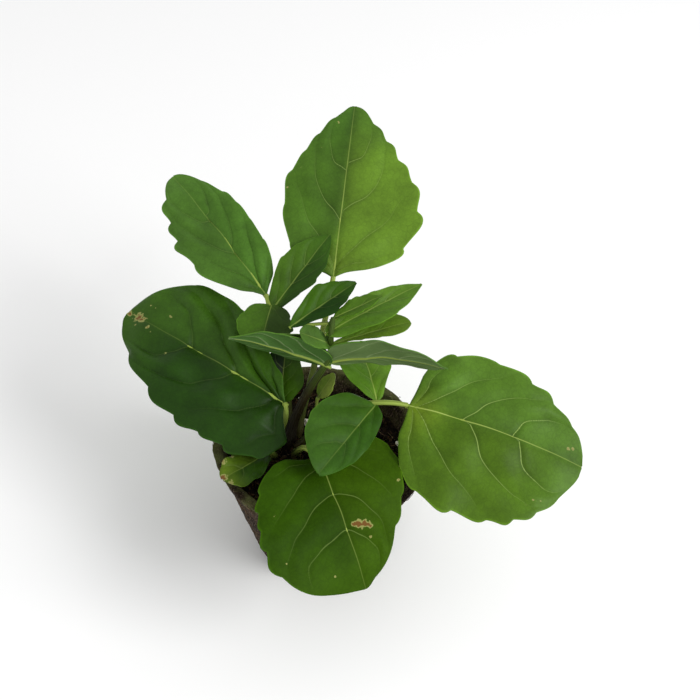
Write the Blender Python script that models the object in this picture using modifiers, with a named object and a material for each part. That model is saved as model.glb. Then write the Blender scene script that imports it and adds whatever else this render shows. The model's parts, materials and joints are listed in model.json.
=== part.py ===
"""A young valerian plant in a round pot of pressed peat fibre. Metres, +Z up, origin under the pot."""

import math

import bmesh
import bpy
from mathutils import Euler, Vector

mm = 0.001

# The pot: a turned shell that tapers to a flat foot, with a thicker lip at its mouth.
pot_height = 60 * mm
pot_mouth_radius = 40 * mm
pot_foot_radius = 22 * mm
pot_wall = 2.4 * mm
pot_floor = 3.0 * mm
lip_height = 4.0 * mm
lip_overhang = 1.2 * mm
drain_hole_radius = 2.5 * mm
drain_circle_radius = 11 * mm
drain_hole_count = 4
edge_rounding = 0.7 * mm
pot_segments = 48

# The soil fills the pot to below its mouth and rises a little towards the crown of the plant.
headspace = 8 * mm
soil_mound = 1.5 * mm
soil_rings = 6
perlite_radius = 1.3 * mm
perlite_variation = 0.38
grain_flatness = 0.8

# The plant. Heights of its points are counted from the soil's edge.
touch_gap = 0.35 * mm
leaf_thickness = 0.8 * mm
blade_end_width = 1.0 * mm
lobe_ramp = 12 * mm
lobe_ease = 1.5
big_leaf = 43 * mm
foot_rise = 2 * mm
tube_resolution = 2
path_steps = 3

soil_level = pot_height - headspace

# Where along a blade its half-widths are given, from 0 at the stalk to 1 at the tip.
width_stations = (0.03, 0.15, 0.3, 0.5, 0.7, 0.85, 0.95)

# Half-widths of the small leaves, as shares of their widest.
lance = (0.20, 0.55, 0.85, 1.00, 0.78, 0.45, 0.18)
ovate = (0.28, 0.72, 0.96, 1.00, 0.80, 0.52, 0.28)
rounded = (0.40, 0.74, 0.94, 1.00, 0.92, 0.74, 0.45)

# Each stalk: radius at its foot and at its end, in mm, and the points of its centre line. The first point
# stands on the soil and the last is where its own leaf begins.
stalks = {
    "main_stem": ((2.1, 0.9), ((-12.5, 2.5), (-11.5, 6.5, 9), (-9, 9.5, 18), (-6, 11, 27), (-2.7, 11, 36),
                               (-0.5, 11.5, 43), (-1, 13, 51), (-1, 16.5, 57))),
    "right_leaf_stalk": ((1.3, 0.9), ((-8.5, 0), (-3.5, 1, 11), (5, 1.3, 22), (12, 1.7, 28.5),
                                      (19, 2.2, 30.6), (25, 2.8, 30.8), (30.3, 3.4, 30))),
    "left_leaf_stalk": ((1.4, 1.0), ((-17, -1.5), (-16, -2, 11), (-14.3, -0.8, 20), (-15, 0.8, 25.8))),
    "left_inner_stalk": ((1.0, 0.8), ((-17, 5), (-18, 6.6, 10), (-17.2, 7.5, 17.4))),
    "back_leaf_stalk": ((1.4, 1.0), ((-9.5, 8), (-8, 14, 14), (-5.5, 26, 30), (-3.7, 38, 43),
                                     (-3, 46.8, 51.3))),
    "upper_left_leaf_stalk": ((1.3, 0.9), ((-13.5, 10), (-15, 17, 14), (-18.5, 24, 30), (-24.5, 29.5, 43),
                                           (-27.6, 35.6, 47.7))),
    "front_leaf_stalk": ((1.3, 1.0), ((-9, -3.5), (-8, -8, 10.5), (-5, -13.5, 18.5), (-0.5, -18.9, 20.2))),
    "old_leaf_stalk": ((1.0, 0.8), ((-17, -6), (-17.6, -8.5, 7), (-18.3, -11.6, 11.6))),
    "sprout_stalk": ((0.8, 0.6), ((-2, 8), (-3.2, 11, 9), (-3.5, 13.6, 17.4))),
    "top_left_stalk": ((0.7, 0.6), ((-2.6, 16, 54.5), (-9.5, 15.6, 53), (-14.8, 12.8, 54.6))),
}

# Each leaf or leaflet, in mm and degrees. joint: where it is attached. offset: the radius there of the stalk
# that it grows on, or 0 at a stalk's end. turn: about Z, 0 to the back and -90 to the right. rise: of its
# base, over level. roll: its right edge down. arch: how far the tip bends down. fold: rise of both halves
# from the midrib. left, right: half-widths at the stations. lobes: how far each half reaches back past the
# joint.
leaves = {
    "back_leaf": dict(
        joint=(-3, 46.8, 51.3), turn=0, rise=35, roll=0,
        length=76.5, arch=14, fold=5,
        left=(8, 18, 23, 23.5, 17, 10, 4), right=(8, 25.5, 31.5, 30.5, 20, 12, 6), lobes=(5, 1)),
    "upper_left_leaf": dict(
        joint=(-27.6, 35.6, 47.7), turn=47, rise=23, roll=-12,
        length=64, arch=14, fold=8,
        left=(4.5, 12, 18, 18.5, 14.5, 10, 5), right=(4.5, 10, 12.5, 14, 12.5, 9, 5)),
    "upper_left_side_leaflet": dict(
        joint=(-25.2, 29.8, 44.2), offset=1.5, turn=-34, rise=32, roll=10,
        length=36, arch=8, fold=20, shape=lance, left=7.5, right=6),
    "upper_left_front_leaflet": dict(
        joint=(-25.2, 29.3, 43.4), offset=1.5, turn=176, rise=9, roll=0,
        length=12, arch=22, fold=6, shape=rounded, left=10.5, right=11),
    "left_leaf": dict(
        joint=(-15, 0.8, 25.8), turn=65, rise=9, roll=-24,
        length=75, arch=14, fold=6,
        left=(20, 26, 28, 27, 21, 14, 8), right=(5, 11, 18, 24, 23.5, 17.5, 10.5), lobes=(13, 0)),
    "left_inner_leaf": dict(
        joint=(-17.2, 7.5, 17.4), turn=2, rise=50, roll=0,
        length=22.5, arch=8, fold=12, shape=ovate, left=9, right=8),
    "right_leaf": dict(
        joint=(30.3, 3.4, 30), turn=-101, rise=3, roll=28,
        length=66, arch=16, fold=4,
        left=(10.5, 21.5, 25.5, 24, 18.5, 11, 5), right=(16, 31, 35.5, 37, 33, 25, 15), lobes=(2, 4.5)),
    "right_back_leaflet": dict(
        joint=(19.2, 2.2, 30.6), offset=1.1, turn=18, rise=12, roll=8,
        length=27, arch=8, fold=8,
        left=(2, 6, 9, 11.5, 11.5, 9.5, 6), right=(1.5, 4, 6.5, 9.5, 9.5, 7.5, 4)),
    "right_front_leaflet": dict(
        joint=(18.8, 2.2, 30.6), offset=1.1, turn=153, rise=1, roll=-14,
        length=36.5, arch=12, fold=5,
        left=(3, 6, 7.5, 8, 7, 5, 2.5), right=(6.5, 12.5, 15.5, 16.5, 14, 9.5, 5)),
    "front_leaf": dict(
        joint=(-0.5, -18.9, 20.2), turn=-154, rise=-3, roll=-3,
        length=49.5, arch=46, fold=4,
        left=(19, 28, 28.5, 24, 17, 11, 6), right=(9, 23, 27, 27.5, 25.5, 19.5, 11), lobes=(8, 5)),
    "pair_left_leaf": dict(
        joint=(-2, 11.2, 39.5), offset=1.6, turn=90, rise=19, roll=70,
        length=34.5, arch=14, fold=8, shape=lance, left=8, right=8),
    "pair_right_leaf": dict(
        joint=(-1.2, 11.3, 41.5), offset=1.6, turn=-84, rise=14, roll=-68,
        length=42, arch=26, fold=5, shape=lance, left=9.5, right=9.5),
    "pair_inner_leaf": dict(
        joint=(-0.8, 11.5, 43.8), offset=1.5, turn=80, rise=16, roll=66,
        length=18, arch=10, fold=8, shape=lance, left=4.5, right=4.5),
    "top_left_leaf": dict(
        joint=(-14.6, 12.2, 55.6), turn=-52, rise=22, roll=22,
        length=26.5, arch=8, fold=16, shape=lance, left=7, right=5),
    "top_right_leaf": dict(
        joint=(-1, 13.8, 52.5), offset=1.2, turn=-56, rise=16, roll=10,
        length=36.5, arch=6, fold=18, shape=lance, left=5.5, right=8),
    "top_back_leaf": dict(
        joint=(-1, 16.5, 57), turn=-70, rise=26, roll=5,
        length=18, arch=5, fold=10, shape=lance, left=4.5, right=3.5),
    "top_lower_leaf": dict(
        joint=(-0.9, 12.4, 48.5), offset=1.3, turn=-66, rise=10, roll=5,
        length=29, arch=5, fold=6, shape=rounded, left=6, right=4.5),
    "top_front_leaf": dict(
        joint=(-1, 12.3, 48), offset=1.3, turn=105, rise=32, roll=-10,
        length=10, arch=10, fold=10, shape=ovate, left=4.5, right=4.5),
    "old_leaf": dict(
        joint=(-18.3, -11.6, 11.6), turn=140, rise=12, roll=-10,
        length=21.5, arch=12, fold=8,
        left=(2, 4, 6, 7.5, 7.5, 6, 3.5), right=(2, 4.5, 5.5, 6.5, 6.5, 5, 3)),
    "sprout_leaf": dict(
        joint=(-3.5, 13.6, 17.4), turn=-54, rise=61, roll=0,
        length=11, arch=8, fold=10, shape=ovate, left=3.2, right=4.6),
}

# The front leaf and the old leaf hang over the pot's mouth, so they move out with it. Their places are
# given for a mouth of this radius, and a point moves by its share of the height that hangs free.
designed_mouth = 41.2 * mm
free_height = 10 * mm
over_the_mouth = ("front_leaf", "front_leaf_stalk", "old_leaf", "old_leaf_stalk")

# Perlite grains: how far out each lies, as a share of the soil's radius, and its direction in degrees.
perlite_spots = ((0.43, 116), (0.69, 186), (0.91, 195), (0.92, 16), (0.81, 84), (0.62, -34), (0.75, 237), (0.84, -8))

leaf_green = (0.090, 0.200, 0.030)
young_green = (0.110, 0.230, 0.040)
underside_green = (0.130, 0.190, 0.085)
old_green = (0.240, 0.270, 0.040)
stalk_green = (0.260, 0.330, 0.090)
stem_brown = (0.110, 0.090, 0.045)
leaf_colours = {"pair_left_leaf": underside_green, "pair_right_leaf": underside_green, "old_leaf": old_green,
                "sprout_leaf": young_green, "top_left_leaf": young_green, "top_right_leaf": young_green}


def clear_scene():
    for thing in list(bpy.data.objects):
        bpy.data.objects.remove(thing, do_unlink=True)


def new_collection(name, hidden=False):
    collection = bpy.data.collections.new(name)
    bpy.context.scene.collection.children.link(collection)
    collection.hide_render = hidden
    return collection


def material(name, colour, roughness):
    made = bpy.data.materials.get(name) or bpy.data.materials.new(name)
    made.use_nodes = True
    shader = made.node_tree.nodes["Principled BSDF"]
    shader.inputs["Base Color"].default_value = (*colour, 1)
    shader.inputs["Roughness"].default_value = roughness
    shader.inputs["Metallic"].default_value = 0
    return made


def add_object(name, data, collection, finish=None):
    made = bpy.data.objects.new(name, data)
    collection.objects.link(made)
    if finish:
        data.materials.append(finish)
    return made


def mesh_from(bm, name):
    mesh = bpy.data.meshes.new(name)
    bmesh.ops.recalc_face_normals(bm, faces=bm.faces)
    bm.to_mesh(mesh)
    bm.free()
    mesh.shade_smooth()
    return mesh


def pot_outer_radius(height):
    """Radius of the pot's outer wall, lip left out, at a height over the foot."""
    return pot_foot_radius + (pot_mouth_radius - pot_foot_radius) * height / pot_height


def pot_inner_radius(height):
    return pot_outer_radius(height) - pot_wall


def soil_radius(height):
    return pot_inner_radius(height) - touch_gap


def soil_top(x, y):
    """Height of the soil's surface."""
    share = min(1, math.hypot(x, y) / soil_radius(soil_level))
    return soil_level + soil_mound * (1 - share * share)


def turned(name, profile, collection, finish):
    """A solid turned about Z from a profile that runs from the axis, or round, in the X-Z plane."""
    mesh = bpy.data.meshes.new(name)
    edges = [(i, i + 1) for i in range(len(profile) - 1)]
    mesh.from_pydata([(x, 0, z) for x, z in profile], edges, [])
    made = add_object(name, mesh, collection, finish)
    screw = made.modifiers.new("Screw", "SCREW")
    screw.steps = screw.render_steps = pot_segments
    screw.use_merge_vertices = True
    screw.merge_threshold = 0.00001
    screw.use_smooth_shade = True
    return made


def make_pot(collection, cutters):
    lip_radius = pot_mouth_radius + lip_overhang
    lip_foot = pot_height - lip_height
    profile = [
        (0, pot_floor),
        (pot_inner_radius(pot_floor) - edge_rounding, pot_floor),
        (pot_inner_radius(pot_floor + edge_rounding), pot_floor + edge_rounding),
        (pot_inner_radius(soil_level), soil_level),
        (pot_inner_radius(pot_height - edge_rounding), pot_height - edge_rounding),
        (pot_inner_radius(pot_height) + edge_rounding, pot_height),
        (lip_radius - edge_rounding, pot_height),
        (lip_radius, pot_height - edge_rounding),
        (lip_radius, lip_foot + edge_rounding),
        (pot_outer_radius(lip_foot), lip_foot),
        (pot_outer_radius(pot_height / 2), pot_height / 2),
        (pot_outer_radius(edge_rounding), edge_rounding),
        (pot_foot_radius - edge_rounding, 0),
        (0, 0),
    ]
    pot = turned("pot", profile, collection, material("peat_fibre", (0.055, 0.036, 0.022), 0.95))
    for number in range(drain_hole_count):
        angle = 2 * math.pi * (number + 0.5) / drain_hole_count
        bm = bmesh.new()
        bmesh.ops.create_cone(bm, cap_ends=True, segments=16, radius1=drain_hole_radius,
                              radius2=drain_hole_radius, depth=4 * pot_floor)
        cutter = add_object(f"drain_cutter_{number}", mesh_from(bm, "drain_cutter"), cutters)
        cutter.location = (drain_circle_radius * math.cos(angle), drain_circle_radius * math.sin(angle), 0)
        cutter.hide_render = True
        cutter.display_type = "WIRE"
        cut = pot.modifiers.new("Drain", "BOOLEAN")
        cut.object = cutter
        cut.solver = "EXACT"


def make_soil(collection):
    foot = pot_floor + touch_gap
    rim = soil_radius(soil_level)
    top = [(rim * n / soil_rings, soil_top(rim * n / soil_rings, 0)) for n in range(soil_rings + 1)]
    corner = foot + edge_rounding
    side = [(soil_radius(corner), corner), (soil_radius(foot) - edge_rounding, foot), (0, foot)]
    turned("soil", top + side, collection, material("peat_soil", (0.018, 0.012, 0.008), 1.0))


def make_perlite(collection):
    finish = material("perlite_grains", (0.7, 0.68, 0.62), 0.9)
    for number, (share, direction) in enumerate(perlite_spots, 1):
        radius = perlite_radius * (1 + perlite_variation * math.sin(2.3 * number))
        reach = share * soil_radius(soil_level)
        x, y = reach * math.cos(math.radians(direction)), reach * math.sin(math.radians(direction))
        bm = bmesh.new()
        grain = bmesh.ops.create_icosphere(bm, subdivisions=2, radius=radius)["verts"]
        for vertex in grain:
            vertex.co.z *= grain_flatness
        made = add_object(f"perlite_{number}", mesh_from(bm, "perlite"), collection, finish)
        made.location = (x, y, soil_top(x, y) + radius * grain_flatness + touch_gap)


def placed(name, point):
    """A design point in mm, with its height over the soil's edge, as a world point."""
    x, y = point[0] * mm, point[1] * mm
    if len(point) == 2:
        return Vector((x, y, soil_top(x, y) + touch_gap))
    height = point[2] * mm
    if name in over_the_mouth:
        outwards = (pot_mouth_radius + lip_overhang - designed_mouth) * min(1, height / free_height)
        reach = math.hypot(x, y)
        x, y = x + outwards * x / reach, y + outwards * y / reach
    return Vector((x, y, soil_level + height))


def rounded_path(points, steps):
    """Points of a Catmull-Rom curve through the given points."""
    ends = [2 * points[0] - points[1], *points, 2 * points[-1] - points[-2]]
    path = []
    for i in range(1, len(ends) - 2):
        before, start, end, after = ends[i - 1:i + 3]
        for step in range(steps):
            t = step / steps
            slope = end - before
            bow = 2 * before - 5 * start + 4 * end - after
            twist = 3 * start - before - 3 * end + after
            path.append(start + (slope * t + bow * t ** 2 + twist * t ** 3) / 2)
    path.append(points[-1])
    return path


def make_stalk(name, radii, points, collection, finish):
    path = [placed(name, point) for point in points]
    foot = path[:1] if len(points[0]) == 2 else []
    if foot:
        path[0] = foot[0] + Vector((0, 0, foot_rise))
    path = foot + rounded_path(path, path_steps)
    curve = bpy.data.curves.new(name, "CURVE")
    curve.dimensions = "3D"
    curve.bevel_depth = mm
    curve.bevel_resolution = tube_resolution
    curve.use_fill_caps = True
    spline = curve.splines.new("POLY")
    spline.points.add(len(path) - 1)
    for n, (point, place) in enumerate(zip(spline.points, path)):
        share = n / (len(path) - 1)
        point.co = (*place, 1)
        point.radius = radii[0] + (radii[1] - radii[0]) * share
    add_object(name, curve, collection, finish)


def half_width(share, widths):
    """Half-width of a blade at a share of its length: elliptical ends, straight between stations."""
    angle = math.asin(2 * share - 1)
    marks = [-math.pi / 2] + [math.asin(2 * s - 1) for s in width_stations] + [math.pi / 2]
    values = [0, *widths, 0]
    for i in range(len(marks) - 1):
        if angle <= marks[i + 1] + 1e-9:
            part = (angle - marks[i]) / (marks[i + 1] - marks[i])
            return values[i] + (values[i + 1] - values[i]) * part
    return 0


def leaf_widths(leaf, side):
    """Half-widths at the stations, in mm: given one by one, or as the widest times a named outline."""
    if "shape" in leaf:
        return [leaf[side] * share for share in leaf["shape"]]
    return leaf[side]


def blade_point(leaf, along, across):
    """A point of the blade in its own frame, +Y from the joint to the tip, before it is turned and placed."""
    side, lobe = ("right", 1) if across > 0 else ("left", 0)
    width = max(half_width(along, leaf_widths(leaf, side)) * mm, blade_end_width / 2)
    x = across * width
    reach = leaf.get("lobes", (0, 0))[lobe] * mm * min(1, abs(x) / lobe_ramp) ** lobe_ease
    y = leaf["length"] * mm * along - reach * (1 - along) ** 2
    z = math.tan(math.radians(leaf["fold"])) * abs(x)
    bend = math.radians(leaf["arch"]) / (leaf["length"] * mm)
    angle = bend * y
    far, high = math.sin(angle) / bend, (math.cos(angle) - 1) / bend
    return Vector((x, far + z * math.sin(angle), high + z * math.cos(angle)))


def make_leaf(name, leaf, collection, finish):
    long_cells, wide_cells = (12, 6) if leaf["length"] * mm > big_leaf else (8, 4)
    bm = bmesh.new()
    bmesh.ops.create_grid(bm, x_segments=wide_cells, y_segments=long_cells, size=1)
    for vertex in bm.verts:
        vertex.co = blade_point(leaf, (vertex.co.y + 1) / 2, vertex.co.x)
    made = add_object(name, mesh_from(bm, name), collection, finish)
    rotation = Euler([math.radians(leaf[key]) for key in ("rise", "roll", "turn")], "YXZ")
    forward = rotation.to_matrix() @ Vector((0, 1, 0))
    made.rotation_mode = "YXZ"
    made.rotation_euler = rotation
    clearance = touch_gap + (blade_end_width + leaf_thickness) / 2
    made.location = placed(name, leaf["joint"]) + forward * (leaf.get("offset", 0) * mm + clearance)
    shell = made.modifiers.new("Thickness", "SOLIDIFY")
    shell.thickness = leaf_thickness
    shell.offset = 0


def main():
    clear_scene()
    parts = new_collection("potted_valerian")
    cutters = new_collection("cutters", hidden=True)
    make_pot(parts, cutters)
    make_soil(parts)
    make_perlite(parts)
    for name, (radii, points) in stalks.items():
        woody = name == "main_stem"
        finish = material("woody_stem", stem_brown, 0.7) if woody else material("stalk", stalk_green, 0.55)
        make_stalk(name, radii, points, parts, finish)
    for name, leaf in leaves.items():
        colour = leaf_colours.get(name, leaf_green)
        make_leaf(name, leaf, parts, material("leaf_" + name, colour, 0.5))


main()
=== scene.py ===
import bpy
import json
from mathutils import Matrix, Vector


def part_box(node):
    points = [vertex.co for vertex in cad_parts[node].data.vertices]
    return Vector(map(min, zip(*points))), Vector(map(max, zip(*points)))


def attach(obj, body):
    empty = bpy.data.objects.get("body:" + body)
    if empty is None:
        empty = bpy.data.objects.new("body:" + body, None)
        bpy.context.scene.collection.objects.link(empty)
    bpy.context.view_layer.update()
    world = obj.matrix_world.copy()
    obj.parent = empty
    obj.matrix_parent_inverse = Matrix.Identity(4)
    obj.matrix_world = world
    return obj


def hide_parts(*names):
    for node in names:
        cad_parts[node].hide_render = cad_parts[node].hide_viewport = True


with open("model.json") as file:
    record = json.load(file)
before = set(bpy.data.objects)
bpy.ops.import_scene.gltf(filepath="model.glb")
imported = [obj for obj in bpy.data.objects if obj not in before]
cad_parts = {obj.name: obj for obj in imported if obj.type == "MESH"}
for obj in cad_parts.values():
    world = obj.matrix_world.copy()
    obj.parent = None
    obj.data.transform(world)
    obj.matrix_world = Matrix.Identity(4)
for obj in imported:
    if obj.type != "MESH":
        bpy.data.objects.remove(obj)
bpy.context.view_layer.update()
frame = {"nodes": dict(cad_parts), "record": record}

import json
import math
import random

import bpy
import numpy as np
from mathutils import Euler, Vector, noise

mm = 0.001
soilLow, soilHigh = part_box("soil")
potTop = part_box("pot")[1].z


def linearColour(hexColour, alpha=1.0):
    shares = [int(hexColour[i:i + 2], 16) / 255 for i in (1, 3, 5)]
    return (*(s / 12.92 if s <= 0.04045 else ((s + 0.055) / 1.055) ** 2.4 for s in shares), alpha)


def centreOf(box):
    low, high = box
    return (Vector(low) + Vector(high)) / 2


def places(mesh):
    flat = np.empty(len(mesh.vertices) * 3)
    mesh.vertices.foreach_get("co", flat)
    return flat.reshape(-1, 3)


def setPlaces(mesh, points):
    mesh.vertices.foreach_set("co", np.ascontiguousarray(points, dtype=np.float32).ravel())
    mesh.update()


def boxOf(points):
    return points.min(axis=0), points.max(axis=0)


def nothingSelected():
    if bpy.context.object and bpy.context.object.mode != "OBJECT":
        bpy.ops.object.mode_set(mode="OBJECT")
    bpy.ops.object.select_all(action="DESELECT")


def onlySelected(piece):
    nothingSelected()
    piece.select_set(True)
    bpy.context.view_layer.objects.active = piece


def addedPiece(name):
    piece = bpy.context.active_object
    piece.name = name
    piece.data.name = name
    return piece


def applyPlace(piece):
    onlySelected(piece)
    bpy.ops.object.transform_apply(location=True, rotation=True, scale=True)


def applyModifiers(piece):
    onlySelected(piece)
    for modifier in list(piece.modifiers):
        bpy.ops.object.modifier_apply(modifier=modifier.name)


def smooth(piece, degrees=45):
    onlySelected(piece)
    bpy.ops.object.shade_smooth_by_angle(angle=math.radians(degrees))


def faceOutwards(piece, weld=None):
    onlySelected(piece)
    bpy.ops.object.mode_set(mode="EDIT")
    bpy.ops.mesh.select_all(action="SELECT")
    if weld:
        bpy.ops.mesh.remove_doubles(threshold=weld)
    bpy.ops.mesh.normals_make_consistent(inside=False)
    bpy.ops.object.mode_set(mode="OBJECT")


def coat(piece, *materials):
    piece.data.materials.clear()
    for material in materials:
        piece.data.materials.append(material)


def setValues(mesh, name, values, kind="FLOAT"):
    attribute = mesh.attributes.new(name, kind, "POINT")
    field = {"FLOAT": "value", "FLOAT_VECTOR": "vector", "FLOAT_COLOR": "color"}[kind]
    attribute.data.foreach_set(field, np.ascontiguousarray(values, dtype=np.float32).ravel())


def softStep(low, high, values):
    share = np.clip((values - low) / (high - low), 0, 1)
    return share * share * (3 - 2 * share)


def bumps(points, size, depth, octaves=3):
    # fractal noise at each point, of that wavelength and depth
    return depth * np.array([noise.fractal(Vector(p) / size, 1.0, 2.0, octaves) for p in points])


def handOver(piece, slot, *nodes):
    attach(piece, "root")
    if nodes:
        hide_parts(*nodes)


def resultOf(value):
    # a node stands for its first result that is in use
    if isinstance(value, bpy.types.Node):
        return next(output for output in value.outputs if output.enabled)
    return value


def addNode(tree, kind, inputs=(), **settings):
    node = tree.nodes.new("ShaderNode" + kind)
    for name, value in settings.items():
        setattr(node, name, value)
    for socket, value in dict(inputs).items():
        value = resultOf(value)
        if isinstance(value, bpy.types.NodeSocket):
            tree.links.new(value, node.inputs[socket])
        else:
            node.inputs[socket].default_value = value
    return node


def newMaterial(name, **shaderValues):
    made = bpy.data.materials.new(name)
    made.use_nodes = True
    shader = made.node_tree.nodes["Principled BSDF"]
    for socket, value in shaderValues.items():
        shader.inputs[socket.replace("_", " ")].default_value = value
    return made, made.node_tree, shader


def perMetre(sizeInMm):
    return 1000 / sizeInMm  # noise scale whose cells have that size on Object coordinates


def veinDistances(tree):
    # mm to the nearest side vein and to the midrib, and the mm from one side vein to the next: whole phases
    # are the veins' centre lines, and the gap turns phase into mm
    leafMap = addNode(tree, "Attribute", attribute_name="veinMap").outputs["Vector"]
    phase, gap, rib = addNode(tree, "SeparateXYZ", {0: leafMap}).outputs
    offLine = addNode(tree, "Math", {0: phase, 1: 0.5}, operation="PINGPONG")
    offLineMm = addNode(tree, "Math", {0: offLine, 1: gap}, operation="MULTIPLY")
    return offLineMm, addNode(tree, "Math", {0: rib}, operation="ABSOLUTE"), gap


def finished(made, tree, shader, skin, height=None, depth=0.1, strength=0.8):
    # depth is the relief in mm
    tree.links.new(resultOf(skin), shader.inputs["Base Color"])
    if height:
        relief = addNode(tree, "Bump", {"Height": height, "Distance": depth * mm, "Strength": strength})
        tree.links.new(resultOf(relief), shader.inputs["Normal"])
    return made


# Leaf blade, upper side: a thin waxy skin over soft green tissue, so it is a matt green with a weak wide
# shine, veins sunk as fine pale lines with painted shade in the hollows along them, and a faint net between
# them.
# The real net of smallest veins and the grain are finer than this: both are drawn coarse enough to show.
bladeFinish = dict(
    patchSize=11, netSize=2.3, grainSize=0.45, veinWidth=0.17, ribWidth=0.3, vein="#93ab5a", rib="#a3b65c",
    margin=1.5, scar="#6a4a24", scarRim="#888a4e", scarEdge=1.3, roughness=0.47)


def makeBladeMaterial(name, look, veinShare, roughness, shine):
    made, tree, shader = newMaterial(name, Roughness=roughness, Specular_IOR_Level=shine)
    where = addNode(tree, "TexCoord").outputs["Object"]
    colour = addNode(tree, "Attribute", attribute_name="bladeColour").outputs["Color"]
    offLineMm, ribMm, gap = veinDistances(tree)
    leafPlace = addNode(tree, "Attribute", attribute_name="bladePlace").outputs["Vector"]
    along, across, scar = addNode(tree, "SeparateXYZ", {0: leafPlace}).outputs

    patches = addNode(tree, "TexNoise", {"Vector": where, "Scale": perMetre(look["patchSize"]), "Detail": 6.0,
                                       "Roughness": 0.6})
    grain = addNode(tree, "TexNoise", {"Vector": where, "Scale": perMetre(look["grainSize"]), "Detail": 2.0})
    net = addNode(tree, "TexVoronoi", {"Vector": where, "Scale": perMetre(look["netSize"])},
                  feature="DISTANCE_TO_EDGE")
    netLine = addNode(tree, "MapRange", {"Value": net.outputs["Distance"], 1: 0.0, 2: 0.2, 3: 1.0, 4: 0.0},
                      interpolation_type="SMOOTHSTEP")

    fade = addNode(tree, "MapRange", {"Value": across, 1: 0.3, 2: 0.85, 3: 1.0, 4: 0.0})
    roomy = addNode(tree, "MapRange", {"Value": gap, 1: 2.0, 2: 7.0})
    fade = addNode(tree, "Math", {0: fade, 1: roomy}, operation="MULTIPLY")
    veinLine = addNode(tree, "MapRange", {"Value": offLineMm, 1: 0.4 * look["veinWidth"],
                                          2: 1.3 * look["veinWidth"], 3: 1.0, 4: 0.0},
                       interpolation_type="SMOOTHSTEP")
    veinLine = addNode(tree, "Math", {0: veinLine, 1: fade}, operation="MULTIPLY")
    # painted shade: the blade is darkened, down to 0.82, in the hollows beside the side veins
    valley = addNode(tree, "MapRange", {"Value": offLineMm, 1: 0.0, 2: 1.7, 3: 1.0, 4: 0.0},
                     interpolation_type="SMOOTHSTEP")
    ribHalf = addNode(tree, "MapRange", {"Value": along, 3: look["ribWidth"], 4: 0.22})
    ribShare = addNode(tree, "Math", {0: ribMm, 1: ribHalf}, operation="DIVIDE")
    ribLine = addNode(tree, "MapRange", {"Value": ribShare, 1: 0.45, 2: 1.1, 3: 1.0, 4: 0.0},
                      interpolation_type="SMOOTHSTEP")

    lighter = addNode(tree, "MapRange", {"Value": patches, 1: 0.3, 2: 0.7, 3: 0.78, 4: 1.24})
    dim = addNode(tree, "MapRange", {"Value": netLine, 3: 1.0, 4: 0.92})
    valley = addNode(tree, "Math", {0: valley, 1: fade}, operation="MULTIPLY")
    valleyShade = addNode(tree, "MapRange", {"Value": valley, 3: 1.0, 4: 0.82})
    level = addNode(tree, "Math", {0: lighter, 1: dim}, operation="MULTIPLY")
    level = addNode(tree, "Math", {0: level, 1: valleyShade}, operation="MULTIPLY")
    speckle = addNode(tree, "MapRange", {"Value": grain, 1: 0.3, 2: 0.7, 3: 0.92, 4: 1.08})
    level = addNode(tree, "Math", {0: level, 1: speckle}, operation="MULTIPLY")
    skin = addNode(tree, "VectorMath", {0: colour, "Scale": level}, operation="SCALE")

    drawn = addNode(tree, "Math", {0: veinLine, 1: veinShare}, operation="MULTIPLY")
    ribPale = addNode(tree, "MapRange", {"Value": along, 3: min(1.0, 0.22 + veinShare), 4: 0.4 * veinShare})
    drawnRib = addNode(tree, "Math", {0: ribLine, 1: ribPale}, operation="MULTIPLY")
    skin = addNode(tree, "Mix", {0: drawn, 6: skin, 7: linearColour(look["vein"])}, data_type="RGBA")
    skin = addNode(tree, "Mix", {0: drawnRib, 6: skin, 7: linearColour(look["rib"])}, data_type="RGBA")

    # the margin is thickened and pale
    margin = addNode(tree, "MapRange", {"Value": across, 1: 0.97, 2: 0.99, 3: 1.0, 4: look["margin"]})
    skin = addNode(tree, "VectorMath", {0: skin, "Scale": margin}, operation="SCALE")

    # dead spots: brown tissue inside a pale rim, with a ragged edge
    torn = addNode(tree, "TexNoise", {"Vector": where, "Scale": perMetre(look["scarEdge"]), "Detail": 3.0})
    ragged = addNode(tree, "MapRange", {"Value": torn, 1: 0.3, 2: 0.7, 3: -0.3, 4: 0.3})
    scarHere = addNode(tree, "Math", {0: scar, 1: ragged}, operation="ADD")
    rim = addNode(tree, "MapRange", {"Value": scarHere, 1: 0.34, 2: 0.46})
    core = addNode(tree, "MapRange", {"Value": scarHere, 1: 0.62, 2: 0.74})
    skin = addNode(tree, "Mix", {0: rim, 6: skin, 7: linearColour(look["scarRim"])}, data_type="RGBA")
    skin = addNode(tree, "Mix", {0: core, 6: skin, 7: linearColour(look["scar"])}, data_type="RGBA")

    height = addNode(tree, "Math", {0: netLine, 1: -0.35}, operation="MULTIPLY")
    height = addNode(tree, "Math", {0: grain, 1: 0.35, 2: height}, operation="MULTIPLY_ADD")
    return finished(made, tree, shader, skin, height, 0.05, 0.8)


# Leaf blade, lower side: no waxy shine and air under the skin, so it is a paler, greyer green, and here the
# veins stand proud.
underFinish = dict(patchSize=9, netSize=2.2, vein="#a5b383", roughness=0.62)


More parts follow.
